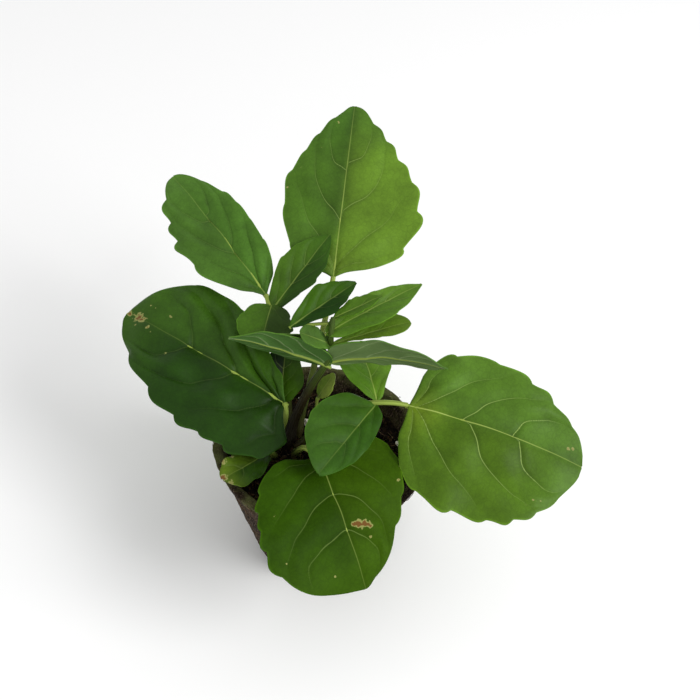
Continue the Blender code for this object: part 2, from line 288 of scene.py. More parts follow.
def makeUnderMaterial(name, look):
    made, tree, shader = newMaterial(name, Roughness=look["roughness"], Specular_IOR_Level=0.25)
    where = addNode(tree, "TexCoord").outputs["Object"]
    colour = addNode(tree, "Attribute", attribute_name="underColour").outputs["Color"]
    offLineMm, ribMm, _ = veinDistances(tree)
    patches = addNode(tree, "TexNoise", {"Vector": where, "Scale": perMetre(look["patchSize"]),
                                         "Detail": 3.0})
    net = addNode(tree, "TexVoronoi", {"Vector": where, "Scale": perMetre(look["netSize"])},
                  feature="DISTANCE_TO_EDGE")
    netLine = addNode(tree, "MapRange", {"Value": net.outputs["Distance"], 1: 0.0, 2: 0.25, 3: 1.0, 4: 0.0})
    veinLine = addNode(tree, "MapRange", {"Value": offLineMm, 1: 0.1, 2: 0.5, 3: 1.0, 4: 0.0},
                       interpolation_type="SMOOTHSTEP")
    ribLine = addNode(tree, "MapRange", {"Value": ribMm, 1: 0.3, 2: 0.8, 3: 1.0, 4: 0.0},
                      interpolation_type="SMOOTHSTEP")
    lines = addNode(tree, "Math", {0: veinLine, 1: ribLine}, operation="MAXIMUM")
    level = addNode(tree, "MapRange", {"Value": patches, 1: 0.3, 2: 0.7, 3: 0.88, 4: 1.12})
    skin = addNode(tree, "VectorMath", {0: colour, "Scale": level}, operation="SCALE")
    drawn = addNode(tree, "Math", {0: lines, 1: 0.3}, operation="MULTIPLY")
    skin = addNode(tree, "Mix", {0: drawn, 6: skin, 7: linearColour(look["vein"])}, data_type="RGBA")
    height = addNode(tree, "Math", {0: netLine, 1: 0.35, 2: lines}, operation="MULTIPLY_ADD")
    return finished(made, tree, shader, skin, height, 0.1, 0.8)


# Leaf stalks and stem: ribbed, juicy stalks, smooth and a little shiny, pale green where the leaf begins
# and stained purple-brown where they leave the soil.
stalkFinishes = {
    "valerianLeafStalk": dict(foot="#3a2f1c", low="#4e5c22", top="#8fa347", ribs=9, roughness=0.42,
                              stained=0.30, greenFrom=0.92),
    "valerianStem": dict(foot="#1d160d", low="#2d2713", top="#40561c", ribs=11, roughness=0.45,
                         stained=0.36, greenFrom=0.78),
}


def makeStalkMaterial(name, look):
    made, tree, shader = newMaterial(name, Roughness=look["roughness"], Specular_IOR_Level=0.18)
    where = addNode(tree, "TexCoord").outputs["Object"]
    stalkPlace = addNode(tree, "Attribute", attribute_name="stalkPlace").outputs["Vector"]
    along, around = addNode(tree, "SeparateXYZ", {0: stalkPlace}).outputs[:2]
    patches = addNode(tree, "TexNoise", {"Vector": where, "Scale": perMetre(3.5), "Detail": 3.0})
    wander = addNode(tree, "Math", {0: patches, 1: 0.25, 2: along}, operation="MULTIPLY_ADD")
    ramp = addNode(tree, "ValToRGB", {"Fac": wander})
    stops = ramp.color_ramp.elements
    stops[0].position, stops[0].color = 0.10, linearColour(look["foot"])
    stops[1].position, stops[1].color = look["greenFrom"], linearColour(look["top"])
    middle = stops.new(0.10 + look["stained"])
    middle.color = linearColour(look["low"])
    turns = addNode(tree, "Math", {0: around, 1: look["ribs"] * 2 * math.pi}, operation="MULTIPLY")
    ribs = addNode(tree, "Math", {0: turns}, operation="SINE")
    shade = addNode(tree, "MapRange", {"Value": ribs, 1: -1.0, 2: 1.0, 3: 0.93, 4: 1.05})
    skin = addNode(tree, "VectorMath", {0: ramp, "Scale": shade}, operation="SCALE")
    return finished(made, tree, shader, skin, ribs, 0.08, 0.7)


# Pressed peat fibre: wet pulp of peat and wood fibre pressed on a mesh and dried, so it is a rough matt
# brown felt with paler fibres lying in it, darker where it is damp and greenish with algae at the lip.
potFinish = dict(damp="#1a120c", dry="#413122", pale="#8f7c68", algae="#5d6638", feltSize=1.4, strandSize=0.5,
                 strandStretch=0.16, clotSize=9)


def makePotMaterial(name, look, lipTop, footHeight):
    made, tree, shader = newMaterial(name, Roughness=0.93, Specular_IOR_Level=0.15)
    where = addNode(tree, "TexCoord").outputs["Object"]
    height = addNode(tree, "SeparateXYZ", {0: where}).outputs["Z"]
    clots = addNode(tree, "TexNoise", {"Vector": where, "Scale": perMetre(look["clotSize"]), "Detail": 4.0})
    felt = addNode(tree, "TexNoise", {"Vector": where, "Scale": perMetre(look["feltSize"]), "Detail": 4.0})
    # two sets of strands, one upright and one crossing it
    upright = addNode(tree, "Mapping", {0: where, 3: (1, 1, look["strandStretch"])})
    strands = addNode(tree, "TexNoise", {"Vector": upright, "Scale": perMetre(look["strandSize"]),
                                         "Detail": 3.0, "Distortion": 0.6})
    crossing = addNode(tree, "Mapping", {0: where, 2: (0.7, 0.5, 0.0), 3: (0.3, 0.3, 1.6)})
    others = addNode(tree, "TexNoise", {"Vector": crossing, "Scale": perMetre(look["strandSize"]),
                                        "Detail": 2.0, "Distortion": 0.8})
    damp = addNode(tree, "MapRange", {"Value": height, 1: footHeight, 2: lipTop, 3: 0.10, 4: -0.06})
    dryness = addNode(tree, "Math", {0: clots, 1: damp}, operation="SUBTRACT")
    dryness = addNode(tree, "MapRange", {"Value": dryness, 1: 0.36, 2: 0.66})
    felted = addNode(tree, "MapRange", {"Value": felt, 1: 0.35, 2: 0.7, 3: 0.55, 4: 1.25})
    body = addNode(tree, "Mix", {0: dryness, 6: linearColour(look["damp"]), 7: linearColour(look["dry"])},
                   data_type="RGBA")
    body = addNode(tree, "VectorMath", {0: body, "Scale": felted}, operation="SCALE")
    strandShare = addNode(tree, "MapRange", {"Value": strands, 1: 0.56, 2: 0.70})
    otherShare = addNode(tree, "MapRange", {"Value": others, 1: 0.60, 2: 0.72})
    lying = addNode(tree, "Math", {0: strandShare, 1: otherShare}, operation="MAXIMUM")
    lying = addNode(tree, "Math", {0: lying, 1: 0.65}, operation="MULTIPLY")
    body = addNode(tree, "Mix", {0: lying, 6: body, 7: linearColour(look["pale"])}, data_type="RGBA")
    nearLip = addNode(tree, "MapRange", {"Value": height, 1: lipTop - 9 * mm, 2: lipTop, 3: 0.0, 4: 1.0})
    growth = addNode(tree, "MapRange", {"Value": clots, 1: 0.42, 2: 0.6, 3: 0.0, 4: 0.75})
    growth = addNode(tree, "Math", {0: growth, 1: nearLip}, operation="MULTIPLY")
    body = addNode(tree, "Mix", {0: growth, 6: body, 7: linearColour(look["algae"])}, data_type="RGBA")
    rough = addNode(tree, "Math", {0: lying, 1: 0.9, 2: felt}, operation="MULTIPLY_ADD")
    return finished(made, tree, shader, body, rough, 0.5, 0.9)


# Peat compost: black crumbs of rotted moss with browner bits of bark and fibre, all matt.
soilFinish = dict(dark="#0a0705", mid="#22180f", bit="#4c3723", crumbSize=2.2, bitSize=1.1)


def makeSoilMaterial(name, look):
    made, tree, shader = newMaterial(name, Roughness=0.95, Specular_IOR_Level=0.12)
    where = addNode(tree, "TexCoord").outputs["Object"]
    crumbs = addNode(tree, "TexNoise", {"Vector": where, "Scale": perMetre(look["crumbSize"]), "Detail": 5.0})
    bits = addNode(tree, "TexVoronoi", {"Vector": where, "Scale": perMetre(look["bitSize"])})
    ramp = addNode(tree, "ValToRGB", {"Fac": crumbs})
    stops = ramp.color_ramp.elements
    stops[0].position, stops[0].color = 0.38, linearColour(look["dark"])
    stops[1].position, stops[1].color = 0.68, linearColour(look["mid"])
    tint = addNode(tree, "SeparateColor", {0: bits.outputs["Color"]})
    pale = addNode(tree, "MapRange", {"Value": tint, 1: 0.82, 2: 0.9, 3: 0.0, 4: 0.8})
    skin = addNode(tree, "Mix", {0: pale, 6: ramp, 7: linearColour(look["bit"])}, data_type="RGBA")
    return finished(made, tree, shader, skin, crumbs, 0.8, 0.9)


# Perlite: volcanic glass popped by heat into a foam, so it is chalk white with fine pores, stained by peat.
perliteFinish = dict(white="#d9d5c8", stain="#a08f74", poreSize=0.5)


def makePerliteMaterial(name, look):
    made, tree, shader = newMaterial(name, Roughness=0.85, Specular_IOR_Level=0.3)
    where = addNode(tree, "TexCoord").outputs["Object"]
    pores = addNode(tree, "TexVoronoi", {"Vector": where, "Scale": perMetre(look["poreSize"])})
    stains = addNode(tree, "TexNoise", {"Vector": where, "Scale": perMetre(2.0), "Detail": 3.0})
    share = addNode(tree, "MapRange", {"Value": stains, 1: 0.5, 2: 0.75})
    skin = addNode(tree, "Mix", {0: share, 6: linearColour(look["white"]), 7: linearColour(look["stain"])},
                   data_type="RGBA")
    return finished(made, tree, shader, skin, pores, 0.15, 0.8)


# Bark chips and loose fibres: dry wood, matt, streaked light and dark.
bitFinish = dict(streakSize=1.2, fibre=("#7a6650", "#4a3a2a"), bark=("#4e3622", "#241710"))


def makeBitMaterial(name, light, dark):
    made, tree, shader = newMaterial(name, Roughness=0.85, Specular_IOR_Level=0.2)
    where = addNode(tree, "TexCoord").outputs["Object"]
    streaks = addNode(tree, "TexNoise", {"Vector": where, "Scale": perMetre(bitFinish["streakSize"]),
                                         "Detail": 3.0})
    share = addNode(tree, "MapRange", {"Value": streaks, 1: 0.35, 2: 0.65})
    skin = addNode(tree, "Mix", {0: share, 6: linearColour(dark), 7: linearColour(light)}, data_type="RGBA")
    return finished(made, tree, shader, skin)


# The leaves, in mm and degrees. Turn, tilt, length and half-widths began as those of each leaf's solid in the
# frame. Some have since been widened, swayed or drooped a little, so they needn't repeat it. The place comes
# from the solid's box. Colours are painted on the left and right half, and besides each leaf's own green they
# hold painted light and shade: a half or leaf that lies in shade, such as left_leaf, is painted darker and a
# lit one lighter. The underside colours are painted the same way.
bladeDetail = dict(thickness=0.42, endWidth=1.0, lobeRamp=12, lobeEase=1.5, bigLength=43, foldSoftness=1.6,
                   bigCells=(84, 128), smallCells=(44, 64), lumpPitch=22)
widthStations = (0.03, 0.15, 0.3, 0.5, 0.7, 0.85, 0.95)
lance = (0.20, 0.55, 0.85, 1.00, 0.78, 0.45, 0.18)
ovate = (0.28, 0.72, 0.96, 1.00, 0.80, 0.52, 0.28)
rounded = (0.40, 0.74, 0.94, 1.00, 0.92, 0.74, 0.45)

# Side veins of one half of a blade: where each leaves the midrib, how far on it reaches the margin, and how
# much it arches on the way.
fullVeins = ((0.00, 0.20, 1.2), (0.03, 0.58, 1.15), (0.30, 0.84, 1.35), (0.58, 0.98, 1.5))
fewVeins = ((0.02, 0.42, 1.2), (0.28, 0.78, 1.3), (0.56, 0.96, 1.4))

leaves = {
    "back_leaf": dict(
        turn=0, rise=35, roll=0, length=76.5, arch=14, fold=5, left=(8, 18, 23, 23.5, 17, 10, 4),
        right=(8, 25.5, 31.5, 30.5, 20, 12, 6), lobes=(5, 1), teeth=((7, 0.9), (7, 2.3)), wave=0.5,
        puff=0.5, lumps=0.5, paintWithShade=("#416318", "#5d7f22"), base="#5f7c20", tip="#3c611b", veinShare=0.38,
        heart=0.68,
        scars=((0.87, -0.62, 0.6, 0.7), (0.56, -0.86, 0.8, 0.6), (0.7, -0.66, 0.8, 0.6),
               (0.45, -0.95, 0.7, 0.6))),
    "upper_left_leaf": dict(
        turn=47, rise=23, roll=-12, length=64, arch=14, fold=8, left=(4.5, 12, 18, 18.5, 14.5, 10, 5),
        right=(4.5, 10, 12.5, 14, 12.5, 9, 5), teeth=((5, 2.4), (6, 0.5)), wave=0.6, puff=0.7, lumps=0.5,
        paintWithShade=("#3f611d", "#42681e"), base="#3a5f17", tip="#4a7025", veinShare=0.14),
    "upper_left_side_leaflet": dict(
        turn=-34, rise=32, roll=10, length=36, arch=8, fold=14, left=(1.8, 5, 8, 9.2, 7.6, 4.6, 2.2),
        right=(1.5, 4, 6.5, 8, 7, 4.5, 2.2), back=2.5, teeth=((3, 0.4), (3, 0.9)), wave=0.3, puff=0.3,
        lumps=0.3, paintWithShade=("#3d5e12", "#28470c"), base="#496e15", tip="#335610", veinShare=0.22),
    "upper_left_front_leaflet": dict(
        turn=176, rise=-2, roll=0, length=16, arch=30, fold=6, shape=rounded, left=10.5, right=11,
        back=3.5, neck=0.7, teeth=((4, 0.7), (4, 0.3)), wave=0.3, puff=0.45, lumps=0.3,
        paintWithShade=("#2c450d", "#406314"), base="#426116", tip="#37540f", veinShare=0.1),
    # painted shade: left_leaf's colours are painted dark for the shade it lies in
    "left_leaf": dict(
        turn=65, rise=9, roll=-24, length=75, arch=14, fold=6, left=(20, 26, 28, 27, 21, 14, 8),
        right=(5, 11, 18, 24, 23.5, 17.5, 10.5), lobes=(13, 0), teeth=((7, 1.9), (5, 0.5)), wave=0.8,
        puff=1.5, lumps=1.0, paintWithShade=("#1d3b05", "#345612"), base="#183105", tip="#385b12", veinShare=0.08,
        roughness=0.42, shine=0.13,
        scars=((0.985, 0.0, 1.3, 0.9), (0.92, 0.03, 1.7, 0.95), (0.89, 0.0, 1.5, 0.9),
               (0.83, -0.13, 0.9, 0.8), (0.8, -0.2, 0.8, 0.6), (0.66, -0.33, 1.0, 0.6),
               (0.9, -0.3, 0.7, 0.6), (0.9, 0.45, 0.8, 0.6), (0.87, 0.4, 0.6, 0.6), (0.76, 0.3, 1.0, 0.6))),
    "left_inner_leaf": dict(
        turn=2, rise=50, roll=0, length=22.5, arch=8, fold=12, shape=ovate, left=9, right=8,
        teeth=((3, 0.4), (3, 0.6)), wave=0.3, puff=0.3, lumps=0.3, paintWithShade=("#0f2601", "#335306"),
        base="#163301", tip="#112c01", veinShare=0.2),
    "right_leaf": dict(
        turn=-101, rise=3, roll=28, length=66, arch=16, fold=4,
        left=(10.5, 21.6, 26, 25.5, 21.4, 15.3, 10.4), right=(16, 30.9, 35, 35.5, 30.1, 20.7, 9.6),
        lobes=(2, 4.5), sway=6, teeth=((6, 1.7), (7, 2.2)), wave=0.7, puff=0.8, lumps=0.6,
        paintWithShade=("#4d701e", "#476611"), base="#647d1d", tip="#4b6d21", veinShare=0.7,
        scars=((0.9, -0.32, 1.1, 0.6), (0.93, -0.42, 1.1, 0.6), (0.72, 0.8, 0.9, 0.6),
               (0.76, 0.74, 0.6, 0.6), (0.8, 0.8, 0.8, 0.6))),
    "right_back_leaflet": dict(
        turn=18, rise=12, roll=8, length=27, arch=8, fold=8, back=2, left=(2, 6, 9, 11.5, 11.5, 9.5, 6),
        right=(1.5, 4, 6.5, 9.5, 9.5, 7.5, 4), teeth=((3, 0.3), (3, 0.3)), wave=0.3, puff=0.3, lumps=0.3,
        paintWithShade=("#4c721c", "#5a8120"), base="#5c811f", tip="#5a8120", veinShare=0.35),
    "right_front_leaflet": dict(
        turn=153, rise=1, roll=-14, length=36.5, arch=12, fold=5, back=2, left=(3, 6, 7.5, 8, 7, 5, 2.5),
        right=(6.5, 12.5, 15.5, 16.5, 14, 9.5, 5), teeth=((3, 0.2), (4, 0.3)), wave=0.4, puff=0.4,
        lumps=0.3, paintWithShade=("#2d510c", "#335512"), base="#3c6211", tip="#2f520f", veinShare=0.08),
    "front_leaf": dict(
        turn=-154, rise=-3, roll=-3, length=49.5, arch=46, fold=4, left=(19, 28, 28.1, 23.5, 16, 9.6, 4),
        right=(9, 23.1, 28.4, 31.5, 31, 25.4, 17.6), lobes=(8, 5), sway=-4, teeth=((5, 1.2), (7, 1.4)),
        wave=0.6, puff=0.6, lumps=0.5, paintWithShade=("#334f05", "#294503"), base="#284502", tip="#365406",
        veinShare=0.24, roughness=0.55, shine=0.04,
        scars=((0.585, -0.38, 0.9, 1.15), (0.57, -0.3, 1.0, 1.15), (0.556, -0.22, 1.0, 1.15),
               (0.545, -0.14, 0.8, 1.05), (0.3, -0.95, 0.9, 0.6), (0.38, -0.93, 0.8, 0.6),
               (0.66, -0.42, 0.7, 0.6), (0.5, 0.25, 0.5, 0.6), (0.4, 0.78, 0.7, 0.6),
               (0.86, 0.4, 0.8, 0.6), (0.7, 0.8, 0.6, 0.6))),
    "pair_left_leaf": dict(
        turn=90, rise=19, roll=70, length=34.5, arch=14, fold=8, left=(6, 9, 10, 10, 8, 4.5, 1.8),
        right=(3, 5.5, 7, 8, 6.2, 3.6, 1.4), back=5, neck=0.8, teeth=((4, 0.3), (4, 0.3)), wave=0.3,
        puff=0.25, lumps=0.2, paintWithShade=("#3f5f1e", "#3f5f1e"), base="#4a6a24", tip="#3f5f1e", under="#42662a",
        veinShare=0.2),
    "pair_right_leaf": dict(
        turn=-84, rise=14, roll=-68, length=42, arch=26, fold=5, left=(4, 6, 7, 7.5, 6.5, 4, 1.7),
        right=(9, 12.5, 13, 12, 8.5, 5, 2), back=3, neck=0.8, teeth=((5, 0.9), (5, 0.5)), wave=0.4,
        puff=0.3, lumps=0.3, paintWithShade=("#3f5f1e", "#3f5f1e"), base="#4a6a24", tip="#3f5f1e", under="#5f7844",
        veinShare=0.2),
    "pair_inner_leaf": dict(
        turn=80, rise=16, roll=66, length=18, arch=10, fold=8, shape=lance, left=5.5, right=4.5, back=3,
        teeth=((3, 0.2), (3, 0.2)), wave=0.2, puff=0.15, lumps=0.2, paintWithShade=("#4a6a24", "#4a6a24"),
        base="#4a6a24", tip="#4a6a24", under="#4b6830", veinShare=0.2),
    "top_left_leaf": dict(
        turn=-52, rise=22, roll=22, length=26.5, arch=8, fold=16, shape=lance, left=7, right=5.5, back=3,
        neck=0.7, teeth=((3, 0.5), (3, 0.3)), wave=0.3, puff=0.3, lumps=0.2, paintWithShade=("#315402", "#173602"),
        base="#294c02", tip="#264902", veinShare=0.12),
    "top_right_leaf": dict(
        turn=-56, rise=16, roll=10, length=36.5, arch=6, fold=18, left=(2.5, 4.5, 5.5, 5.5, 4.3, 2.5, 1),
        right=(4, 6.5, 7.8, 8, 6.2, 3.6, 1.4), back=5, neck=0.7, teeth=((3, 0.3), (4, 0.3)), wave=0.3,
        puff=0.25, lumps=0.2, paintWithShade=("#537620", "#4e731e"), base="#567d22", tip="#537920", veinShare=0.3),
    "top_back_leaf": dict(
        turn=-70, rise=26, roll=5, length=18, arch=5, fold=10, shape=lance, left=4.5, right=3.5, back=1.5,
        teeth=((4, 0.5), (4, 0.4)), wave=0.2, puff=0.2, lumps=0.2, paintWithShade=("#4b6f18", "#446615"),
        base="#4b6f18", tip="#476b16", veinShare=0.25),
    "top_lower_leaf": dict(
        turn=-66, rise=10, roll=5, length=29, arch=5, fold=6, left=(0.8, 1.5, 2.5, 4.5, 6, 5.4, 3.4),
        right=(0.8, 1.2, 2, 3.4, 4.5, 4.2, 2.6), back=2.5, teeth=((4, 0.3), (4, 0.3)), wave=0.2, puff=0.2,
        lumps=0.2, paintWithShade=("#55761c", "#53701b"), base="#56761c", tip="#55721c", veinShare=0.2),
    "top_front_leaf": dict(
        turn=105, rise=32, roll=-10, length=11, arch=10, fold=10, shape=rounded, left=5, right=5, back=2.5,
        neck=0.6, teeth=((3, 0.2), (3, 0.2)), wave=0.15, puff=0.15, lumps=0.1,
        paintWithShade=("#4a6c26", "#446324"), base="#557830", tip="#4a6c26", veinShare=0.2),
    "old_leaf": dict(
        turn=140, rise=12, roll=-10, length=21.5, arch=12, fold=8, left=(2, 4, 6, 7.5, 7.5, 6, 3.5),
        right=(2, 4.5, 5.5, 6.5, 6.5, 5, 3), teeth=((3, 0.9), (3, 0.8)), wave=0.7, puff=0.3, lumps=0.4,
        paintWithShade=("#294905", "#41590c"), base="#1e3d04", tip="#576b16", veinShare=0.15,
        scars=((0.98, 0.2, 1.6, 0.9), (0.93, -0.7, 1.2, 0.8), (0.8, 0.98, 1.2, 0.8),
               (0.6, 0.98, 1.0, 0.8), (0.99, -0.3, 1.2, 0.7))),
    "sprout_leaf": dict(
        turn=-54, rise=61, roll=0, length=11, arch=8, fold=10, shape=ovate, left=3.2, right=4.6,
        teeth=((4, 0.3), (4, 0.3)), wave=0.15, puff=0.15, lumps=0.1, paintWithShade=("#6f8a30", "#83983c"),
        base="#54702a", tip="#7d9438", veinShare=0.3),
}


def halfWidths(leaf, side, along, fine):
    widths = leaf[side]
    if "shape" in leaf:
        widths = [widths * share for share in leaf["shape"]]
    marks = np.concatenate(([-math.pi / 2], np.arcsin(2 * np.array(widthStations) - 1), [math.pi / 2]))
    angles = np.linspace(-math.pi / 2, math.pi / 2, 241)
    values = np.interp(angles, marks, [0, *widths, 0])
    if fine:  # round off the corners at the stations
        reach = 14
        weights = np.hanning(2 * reach + 3)[1:-1]
        extended = np.concatenate((-values[reach:0:-1], values, -values[-2:-reach - 2:-1]))
        values = np.convolve(extended, weights / weights.sum(), "valid")
    return np.interp(np.arcsin(np.clip(2 * along - 1, -1, 1)), angles, np.maximum(values, 0))


def toothed(along, count, depth, seed):
    # rounded teeth of uneven size that lean to the tip, and fade out at both ends of the blade
    chance = random.Random(seed)
    depths = np.array([chance.uniform(0.45, 1.35) for _ in range(count + 3)])
    place = np.clip(along, 0, 1) * count + 0.3 * np.sin(7 * along + seed) + 0.5
    tooth = np.sin(math.pi * np.mod(place, 1) ** 2.3) ** 0.7 * depths[np.floor(place).astype(int)]
    return depth * (tooth - 0.6) * np.sin(math.pi * np.clip(along, 0, 1)) ** 0.4


def veinPhases(leaf, along, across, seed):
    # phase is whole on each side vein, and gap is the mm from one to the next, measured across them
    veins = fullVeins if leaf["length"] > bladeDetail["bigLength"] else fewVeins
    reach = np.abs(across)
    shift = np.where(across > 0, 0.035, 0.0) * (0.5 + math.sin(seed))
    wander = 0.008 * np.sin(9 * reach + seed + 7 * along) + 0.004 * np.sin(21 * reach + 2 * seed)
    lines = [start + shift * (start > 0.1) + (end - start) * reach ** curve for start, end, curve in veins]
    lines = [lines[0] - 0.5] + lines + [lines[-1] + 0.5]
    phase, gap = np.zeros_like(along), np.full_like(along, 1.0)
    place = along + wander
    for n in range(len(lines) - 1):
        between = np.maximum(lines[n + 1] - lines[n], 0.004)
        here = (place >= lines[n]) & (place < lines[n] + between) if n else place < lines[1]
        phase = np.where(here, n + (place - lines[n]) / between, phase)
        gap = np.where(here, between * leaf["length"] * 0.72, gap)
    return phase, gap


def unevenness(x, y, seed, size):
    chance = random.Random(seed)
    total = np.zeros_like(x)
    for _ in range(6):
        direction, turn = chance.uniform(0, math.pi), chance.uniform(0, 2 * math.pi)
        pitch = size * chance.uniform(0.7, 1.6)
        total += np.sin(2 * math.pi * (x * math.cos(direction) + y * math.sin(direction)) / pitch + turn)
    return total / 3


def bladePlaces(leaf, along, across, fine, seed=0):
    right = across > 0
    half = np.where(right, halfWidths(leaf, "right", along, fine), halfWidths(leaf, "left", along, fine))
    if fine:
        half = half * (leaf.get("neck", 0.35) + (1 - leaf.get("neck", 0.35)) * softStep(-0.01, 0.09, along))
    half = np.maximum(half, bladeDetail["endWidth"] / 2)
    x = across * half
    if fine:
        (leftCount, leftDepth), (rightCount, rightDepth) = leaf["teeth"]
        teeth = np.where(right, toothed(along, rightCount, rightDepth, seed),
                         toothed(along, leftCount, leftDepth, seed + 50))
        x = x + np.sign(across) * teeth * np.abs(across) ** 5
    lobe = np.where(right, leaf.get("lobes", (0, 0))[1], leaf.get("lobes", (0, 0))[0])
    ramp = np.minimum(1, np.abs(x) / bladeDetail["lobeRamp"]) ** bladeDetail["lobeEase"]
    y = leaf["length"] * along - lobe * ramp * (1 - along) ** 2
    if fine:
        y -= leaf.get("back", 1.0) * (1 - softStep(0, 0.25, along))
    slope = math.tan(math.radians(leaf["fold"]))
    if fine:
        soft = bladeDetail["foldSoftness"]
        z = slope * (np.sqrt(x ** 2 + soft ** 2) - soft)
        phase, gap = veinPhases(leaf, along, across, seed)
        offVein = np.abs(phase - np.round(phase)) * gap
        inner = 1 - np.abs(across) ** 4
        inner = inner * softStep(2, 8, gap) * softStep(-0.02, 0.1, along) * (1 - softStep(0.75, 1, along))
        z += leaf["puff"] * np.sin(math.pi * np.mod(phase, 1)) ** 2 * inner
        z -= 0.45 * leaf["puff"] * np.exp(-(offVein / 0.8) ** 2) * inner
        z -= (0.35 + 0.4 * leaf["puff"]) * np.exp(-(x / 1.3) ** 2) * (1 - 0.7 * along)
        z += leaf["wave"] * across ** 2 * np.sin(2 * math.pi * (2.6 * along + 0.3 * np.sign(across)) + seed)
        z -= 0.5 * leaf["wave"] * np.abs(across) ** 6
        z += leaf["lumps"] * unevenness(x, y, seed, bladeDetail["lumpPitch"]) * softStep(0, 0.25, along)
    else:
        z = slope * np.abs(x)
    bend = math.radians(leaf["arch"]) / leaf["length"]
    angle = bend * y
    flat = np.stack((x, y), axis=1)
    side = x + leaf.get("sway", 0) * along ** 2
    points = np.stack((side, np.sin(angle) / bend + z * np.sin(angle),
                       (np.cos(angle) - 1) / bend + z * np.cos(angle)), axis=1)
    rotation = Euler([math.radians(leaf[key]) for key in ("rise", "roll", "turn")], "YXZ").to_matrix()
    return points @ np.array(rotation).T * mm, flat


def paintBlade(leaf, along, across):
    # the two half colours hold painted shade and painted light as well as the leaf's own green
    left, right = (np.array(linearColour(colour)) for colour in leaf["paintWithShade"])
    base, tip = (np.array(linearColour(leaf[key])) for key in ("base", "tip"))
    share = softStep(-0.12, 0.12, across)[:, None]
    colour = left * (1 - share) + right * share
    nearBase = (1 - softStep(0.0, 0.3, along + 0.25 * np.abs(across)))[:, None]
    colour = colour * (1 - nearBase) + base * nearBase
    nearTip = (softStep(0.55, 1.0, along) * 0.7)[:, None]
    colour = colour * (1 - nearTip) + tip * nearTip
    nearRib = np.exp(-(across / 0.3) ** 2) * softStep(0.15, 0.4, along)
    return colour * (1 - (1 - leaf.get("heart", 0.88)) * nearRib)[:, None]


def makeLeaf(node, leaf, seed, underMaterial, ribMaterial):
    big = leaf["length"] > bladeDetail["bigLength"]
    columns, rows = bladeDetail["bigCells" if big else "smallCells"]
    nothingSelected()
    bpy.ops.mesh.primitive_grid_add(x_subdivisions=columns, y_subdivisions=rows, size=2)
    piece = addedPiece(node + "_blade")
    cells = places(piece.data)
    across, along = cells[:, 0], (cells[:, 1] + 1) / 2
    blade, flat = bladePlaces(leaf, along, across, True, seed)

    # where the blade goes: the plain shape of its solid, moved onto the solid's box
    wide, long = np.meshgrid(np.linspace(-1, 1, 7), np.linspace(0, 1, 13))
    plain, _ = bladePlaces(leaf, long.ravel(), wide.ravel(), False)
    shift = centreOf(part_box(node)) - centreOf(boxOf(plain))
    setPlaces(piece.data, blade + np.array(shift))

    phase, gap = veinPhases(leaf, along, across, seed)
    scar = np.zeros_like(along)
    for scarAlong, scarAcross, size, depth in leaf.get("scars", ()):
        spot, _ = bladePlaces(leaf, np.array([scarAlong]), np.array([scarAcross]), True, seed)
        distance = np.linalg.norm(blade - spot, axis=1) / mm
        scar = np.maximum(scar, depth - 0.5 * distance / size)
    setValues(piece.data, "veinMap", np.stack((phase, gap, flat[:, 0]), axis=1), "FLOAT_VECTOR")
    setValues(piece.data, "bladePlace", np.stack((along, np.abs(across), scar), axis=1), "FLOAT_VECTOR")
    setValues(piece.data, "bladeColour", paintBlade(leaf, along, across), "FLOAT_COLOR")
    # the underside colour holds painted shade and painted light as well as the underside's own green
    under = np.array(linearColour(leaf.get("under", "#6f8552")))
    setValues(piece.data, "underColour", np.tile(under, (len(along), 1)), "FLOAT_COLOR")

    topMaterial = makeBladeMaterial("valerianLeaf_" + node, bladeFinish, leaf["veinShare"],
                                    leaf.get("roughness", bladeFinish["roughness"]), leaf.get("shine", 0.12))
    coat(piece, topMaterial, underMaterial)
    shell = piece.modifiers.new("Thickness", "SOLIDIFY")
    shell.thickness = bladeDetail["thickness"] * mm
    shell.offset = 0
    shell.material_offset = 1
    applyModifiers(piece)
    smooth(piece)
    makeRib(node, leaf, seed, shift, ribMaterial)
    return piece


def tubes(name, lines, sizes, radius, roundness, weld):
    # round tubes along lists of points, with a size at each point as a share of the radius
    nothingSelected()
    bpy.ops.curve.primitive_nurbs_path_add()
    curve = addedPiece(name).data
    curve.splines.clear()
    curve.bevel_depth = radius
    curve.bevel_resolution = roundness
    curve.use_fill_caps = True
    for line, lineSizes in zip(lines, sizes):
        spline = curve.splines.new("POLY")
        spline.points.add(len(line) - 1)
        for point, place, size in zip(spline.points, line, lineSizes):
            point.co = (*place, 1)
            point.radius = size
    onlySelected(bpy.context.active_object)
    bpy.ops.object.convert(target="MESH")
    piece = bpy.context.active_object
    faceOutwards(piece, weld)
    return piece


# The midrib stands proud under each blade, and runs back into the stalk or stem that carries it.
ribDetail = dict(bigRadius=0.95, smallRadius=0.6, endRadius=0.16, sink=0.72, reach=0.93, points=18, extra=1.4,
                 bigGreen=0.95, smallGreen=0.66)


